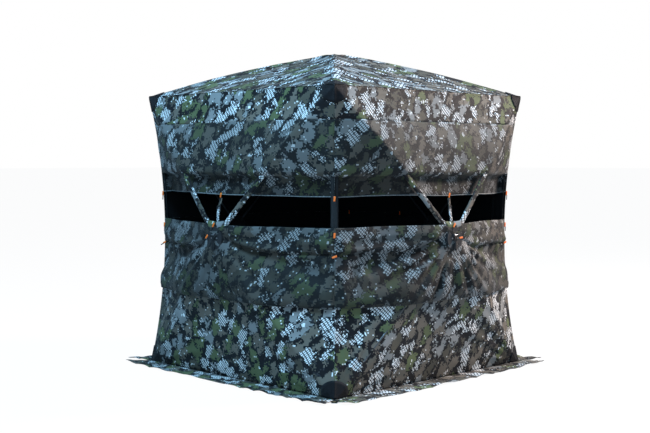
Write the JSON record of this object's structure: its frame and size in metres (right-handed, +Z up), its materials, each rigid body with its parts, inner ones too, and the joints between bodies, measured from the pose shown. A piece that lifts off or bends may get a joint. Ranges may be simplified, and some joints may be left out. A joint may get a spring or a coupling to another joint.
{
  "type": "pop up ground blind",
  "caption": "Square pop-up hunting and watching blind: a camouflage shell on push-out hubs with sprung rods, wide open windows, a door and a ground skirt.",
  "frame": {"origin": "on the ground under the middle of the roof", "axes": "+Z up; the open front wall faces -Y, the other open wall faces +X and the door is in the +Y wall"},
  "size_m": [1.839, 1.839, 1.7875],
  "materials": {
    "camo_fabric": "matt woven polyester with a digital leaf and bark print",
    "window_fabric": "matt thin printed polyester, duller than the walls",
    "skirt_fabric": "matt printed polyester with a bound hem",
    "corner_fabric": "matt heavy black nylon",
    "black_webbing": "woven black nylon tape",
    "camo_webbing": "woven printed tape",
    "handle_webbing": "woven black nylon with a padded sleeve",
    "grommet_brass": "dull plated brass",
    "orange_tabs": "bright orange moulded plastic and ribbon",
    "hub_plastic": "fine moulded texture",
    "pin_steel": "zinc plated",
    "fibreglass_rod": "smooth pultruded fibreglass"
  },
  "bodies": {
    "shell": {"roof_canopy": "camo_fabric", "eave_band": "camo_fabric", "upper_curtain": "window_fabric", "lower_curtain": "window_fabric", "lower_wall_front": "camo_fabric", "lower_wall_right": "camo_fabric", "lower_wall_back": "camo_fabric", "lower_wall_left": "camo_fabric", "ground_skirt": "skirt_fabric", "corner_patches": "corner_fabric", "corner_webbing": "black_webbing", "stake_loops": "black_webbing", "stake_grommets": "grommet_brass", "curtain_toggles": "orange_tabs", "hub_straps": "camo_webbing"},
    "roof_hub": {"roof_hub_housing": "hub_plastic", "roof_hub_cover": "hub_plastic", "roof_hub_pins": "pin_steel"},
    "roof_rod_back_right": {"roof_rod_back_right": "fibreglass_rod"},
    "roof_rod_back_left": {"roof_rod_back_left": "fibreglass_rod"},
    "roof_rod_front_left": {"roof_rod_front_left": "fibreglass_rod"},
    "roof_rod_front_right": {"roof_rod_front_right": "fibreglass_rod"},
    "roof_handle": {"roof_pull_handle": "handle_webbing"},
    "front_hub": {"front_hub_housing": "hub_plastic", "front_hub_cover": "hub_plastic", "front_hub_pins": "pin_steel"},
    "front_rod_top_right": {"front_rod_top_right": "fibreglass_rod"},
    "front_rod_top_left": {"front_rod_top_left": "fibreglass_rod"},
    "front_rod_low_left": {"front_rod_low_left": "fibreglass_rod"},
    "front_rod_low_right": {"front_rod_low_right": "fibreglass_rod"},
    "front_handle": {"front_pull_handle": "handle_webbing"},
    "right_hub": {"right_hub_housing": "hub_plastic", "right_hub_cover": "hub_plastic", "right_hub_pins": "pin_steel"},
    "right_rod_top_right": {"right_rod_top_right": "fibreglass_rod"},
    "right_rod_top_left": {"right_rod_top_left": "fibreglass_rod"},
    "right_rod_low_left": {"right_rod_low_left": "fibreglass_rod"},
    "right_rod_low_right": {"right_rod_low_right": "fibreglass_rod"},
    "right_handle": {"right_pull_handle": "handle_webbing"},
    "back_hub": {"back_hub_housing": "hub_plastic", "back_hub_cover": "hub_plastic", "back_hub_pins": "pin_steel"},
    "back_rod_top_right": {"back_rod_top_right": "fibreglass_rod"},
    "back_rod_top_left": {"back_rod_top_left": "fibreglass_rod"},
    "back_rod_low_left": {"back_rod_low_left": "fibreglass_rod"},
    "back_rod_low_right": {"back_rod_low_right": "fibreglass_rod"},
    "back_handle": {"back_pull_handle": "handle_webbing"},
    "left_hub": {"left_hub_housing": "hub_plastic", "left_hub_cover": "hub_plastic", "left_hub_pins": "pin_steel"},
    "left_rod_top_right": {"left_rod_top_right": "fibreglass_rod"},
    "left_rod_top_left": {"left_rod_top_left": "fibreglass_rod"},
    "left_rod_low_left": {"left_rod_low_left": "fibreglass_rod"},
    "left_rod_low_right": {"left_rod_low_right": "fibreglass_rod"},
    "left_handle": {"left_pull_handle": "handle_webbing"},
    "door_frame": {"door_tape": "black_webbing"},
    "door": {"door_panel": "camo_fabric", "door_toggles": "orange_tabs"}
  },
  "joints": [
    {"name": "roof_hub_push", "type": "slide", "parent": "shell", "child": "roof_hub", "axis": [0, 0, 1], "range_m": [-0.47, 0]},
    {"name": "roof_rod_back_right_pivot", "type": "hinge", "parent": "roof_hub", "child": "roof_rod_back_right", "pos_m": [0.03253, 0.03253, 1.775], "axis": [-0.7071, 0.7071, 0], "range_deg": [-26.18, 0]},
    {"name": "roof_rod_back_left_pivot", "type": "hinge", "parent": "roof_hub", "child": "roof_rod_back_left", "pos_m": [-0.03253, 0.03253, 1.775], "axis": [-0.7071, -0.7071, 0], "range_deg": [-26.18, 0]},
    {"name": "roof_rod_front_left_pivot", "type": "hinge", "parent": "roof_hub", "child": "roof_rod_front_left", "pos_m": [-0.03253, -0.03253, 1.775], "axis": [0.7071, -0.7071, 0], "range_deg": [-26.18, 0]},
    {"name": "roof_rod_front_right_pivot", "type": "hinge", "parent": "roof_hub", "child": "roof_rod_front_right", "pos_m": [0.03253, -0.03253, 1.775], "axis": [0.7071, 0.7071, 0], "range_deg": [-26.18, 0]},
    {"name": "roof_handle_swing", "type": "hinge", "parent": "roof_hub", "child": "roof_handle", "pos_m": [0, 0.018, 1.751], "axis": [-1, 0, 0], "range_deg": [-60, 60]},
    {"name": "front_hub_push", "type": "slide", "parent": "shell", "child": "front_hub", "axis": [0, -1, 0], "range_m": [-0.266, 0]},
    {"name": "front_rod_top_right_pivot", "type": "hinge", "parent": "front_hub", "child": "front_rod_top_right", "pos_m": [0.0321, -0.883, 0.80295], "axis": [-0.7163, 0, 0.6977], "range_deg": [-14.83, 0]},
    {"name": "front_rod_top_left_pivot", "type": "hinge", "parent": "front_hub", "child": "front_rod_top_left", "pos_m": [-0.0321, -0.883, 0.80295], "axis": [-0.7163, 0, -0.6977], "range_deg": [-14.83, 0]},
    {"name": "front_rod_low_left_pivot", "type": "hinge", "parent": "front_hub", "child": "front_rod_low_left", "pos_m": [-0.0321, -0.883, 0.73705], "axis": [0.7163, 0, -0.6977], "range_deg": [-14.83, 0]},
    {"name": "front_rod_low_right_pivot", "type": "hinge", "parent": "front_hub", "child": "front_rod_low_right", "pos_m": [0.0321, -0.883, 0.73705], "axis": [0.7163, 0, 0.6977], "range_deg": [-14.83, 0]},
    {"name": "front_handle_swing", "type": "hinge", "parent": "front_hub", "child": "front_handle", "pos_m": [0, -0.907, 0.788], "axis": [-1, 0, 0], "range_deg": [0, 95]},
    {"name": "right_hub_push", "type": "slide", "parent": "shell", "child": "right_hub", "axis": [1, 0, 0], "range_m": [-0.266, 0]},
    {"name": "right_rod_top_right_pivot", "type": "hinge", "parent": "right_hub", "child": "right_rod_top_right", "pos_m": [0.883, 0.0321, 0.80295], "axis": [0, -0.7163, 0.6977], "range_deg": [-14.83, 0]},
    {"name": "right_rod_top_left_pivot", "type": "hinge", "parent": "right_hub", "child": "right_rod_top_left", "pos_m": [0.883, -0.0321, 0.80295], "axis": [0, -0.7163, -0.6977], "range_deg": [-14.83, 0]},
    {"name": "right_rod_low_left_pivot", "type": "hinge", "parent": "right_hub", "child": "right_rod_low_left", "pos_m": [0.883, -0.0321, 0.73705], "axis": [0, 0.7163, -0.6977], "range_deg": [-14.83, 0]},
    {"name": "right_rod_low_right_pivot", "type": "hinge", "parent": "right_hub", "child": "right_rod_low_right", "pos_m": [0.883, 0.0321, 0.73705], "axis": [0, 0.7163, 0.6977], "range_deg": [-14.83, 0]},
    {"name": "right_handle_swing", "type": "hinge", "parent": "right_hub", "child": "right_handle", "pos_m": [0.907, 0, 0.788], "axis": [0, -1, 0], "range_deg": [0, 95]},
    {"name": "back_hub_push", "type": "slide", "parent": "shell", "child": "back_hub", "axis": [0, 1, 0], "range_m": [-0.266, 0]},
    {"name": "back_rod_top_right_pivot", "type": "hinge", "parent": "back_hub", "child": "back_rod_top_right", "pos_m": [-0.0321, 0.883, 0.80295], "axis": [0.7163, 0, 0.6977], "range_deg": [-14.83, 0]},
    {"name": "back_rod_top_left_pivot", "type": "hinge", "parent": "back_hub", "child": "back_rod_top_left", "pos_m": [0.0321, 0.883, 0.80295], "axis": [0.7163, 0, -0.6977], "range_deg": [-14.83, 0]},
    {"name": "back_rod_low_left_pivot", "type": "hinge", "parent": "back_hub", "child": "back_rod_low_left", "pos_m": [0.0321, 0.883, 0.73705], "axis": [-0.7163, 0, -0.6977], "range_deg": [-14.83, 0]},
    {"name": "back_rod_low_right_pivot", "type": "hinge", "parent": "back_hub", "child": "back_rod_low_right", "pos_m": [-0.0321, 0.883, 0.73705], "axis": [-0.7163, 0, 0.6977], "range_deg": [-14.83, 0]},
    {"name": "back_handle_swing", "type": "hinge", "parent": "back_hub", "child": "back_handle", "pos_m": [0, 0.907, 0.788], "axis": [1, 0, 0], "range_deg": [0, 95]},
    {"name": "left_hub_push", "type": "slide", "parent": "shell", "child": "left_hub", "axis": [-1, 0, 0], "range_m": [-0.266, 0]},
    {"name": "left_rod_top_right_pivot", "type": "hinge", "parent": "left_hub", "child": "left_rod_top_right", "pos_m": [-0.883, -0.0321, 0.80295], "axis": [0, 0.7163, 0.6977], "range_deg": [-14.83, 0]},
    {"name": "left_rod_top_left_pivot", "type": "hinge", "parent": "left_hub", "child": "left_rod_top_left", "pos_m": [-0.883, 0.0321, 0.80295], "axis": [0, 0.7163, -0.6977], "range_deg": [-14.83, 0]},
    {"name": "left_rod_low_left_pivot", "type": "hinge", "parent": "left_hub", "child": "left_rod_low_left", "pos_m": [-0.883, 0.0321, 0.73705], "axis": [0, -0.7163, -0.6977], "range_deg": [-14.83, 0]},
    {"name": "left_rod_low_right_pivot", "type": "hinge", "parent": "left_hub", "child": "left_rod_low_right", "pos_m": [-0.883, -0.0321, 0.73705], "axis": [0, -0.7163, 0.6977], "range_deg": [-14.83, 0]},
    {"name": "left_handle_swing", "type": "hinge", "parent": "left_hub", "child": "left_handle", "pos_m": [-0.907, 0, 0.788], "axis": [0, 1, 0], "range_deg": [0, 95]},
    {"name": "door_facet_fold", "type": "hinge", "parent": "shell", "child": "door_frame", "pos_m": [0.69, 0.69, 0.77], "axis": [0, 0, 1], "range_deg": [0, 21.77]},
    {"name": "door_swing", "type": "hinge", "parent": "door_frame", "child": "door", "pos_m": [0.612, 0.72482, 0.77], "axis": [0, 0, -1], "range_deg": [0, 110]}
  ],
  "couplings": [
    {"joint": "roof_rod_back_right_pivot", "follows": "roof_hub_push", "rad_per_m": 0.96848},
    {"joint": "roof_rod_back_left_pivot", "follows": "roof_hub_push", "rad_per_m": 0.96848},
    {"joint": "roof_rod_front_left_pivot", "follows": "roof_hub_push", "rad_per_m": 0.96848},
    {"joint": "roof_rod_front_right_pivot", "follows": "roof_hub_push", "rad_per_m": 0.96848},
    {"joint": "front_rod_top_right_pivot", "follows": "front_hub_push", "rad_per_m": 0.96656},
    {"joint": "front_rod_top_left_pivot", "follows": "front_hub_push", "rad_per_m": 0.96656},
    {"joint": "front_rod_low_left_pivot", "follows": "front_hub_push", "rad_per_m": 0.96656},
    {"joint": "front_rod_low_right_pivot", "follows": "front_hub_push", "rad_per_m": 0.96656},
    {"joint": "right_rod_top_right_pivot", "follows": "right_hub_push", "rad_per_m": 0.96656},
    {"joint": "right_rod_top_left_pivot", "follows": "right_hub_push", "rad_per_m": 0.96656},
    {"joint": "right_rod_low_left_pivot", "follows": "right_hub_push", "rad_per_m": 0.96656},
    {"joint": "right_rod_low_right_pivot", "follows": "right_hub_push", "rad_per_m": 0.96656},
    {"joint": "back_rod_top_right_pivot", "follows": "back_hub_push", "rad_per_m": 0.96656},
    {"joint": "back_rod_top_left_pivot", "follows": "back_hub_push", "rad_per_m": 0.96656},
    {"joint": "back_rod_low_left_pivot", "follows": "back_hub_push", "rad_per_m": 0.96656},
    {"joint": "back_rod_low_right_pivot", "follows": "back_hub_push", "rad_per_m": 0.96656},
    {"joint": "left_rod_top_right_pivot", "follows": "left_hub_push", "rad_per_m": 0.96656},
    {"joint": "left_rod_top_left_pivot", "follows": "left_hub_push", "rad_per_m": 0.96656},
    {"joint": "left_rod_low_left_pivot", "follows": "left_hub_push", "rad_per_m": 0.96656},
    {"joint": "left_rod_low_right_pivot", "follows": "left_hub_push", "rad_per_m": 0.96656},
    {"joint": "door_facet_fold", "follows": "back_hub_push", "rad_per_m": -1.4216}
  ]
}
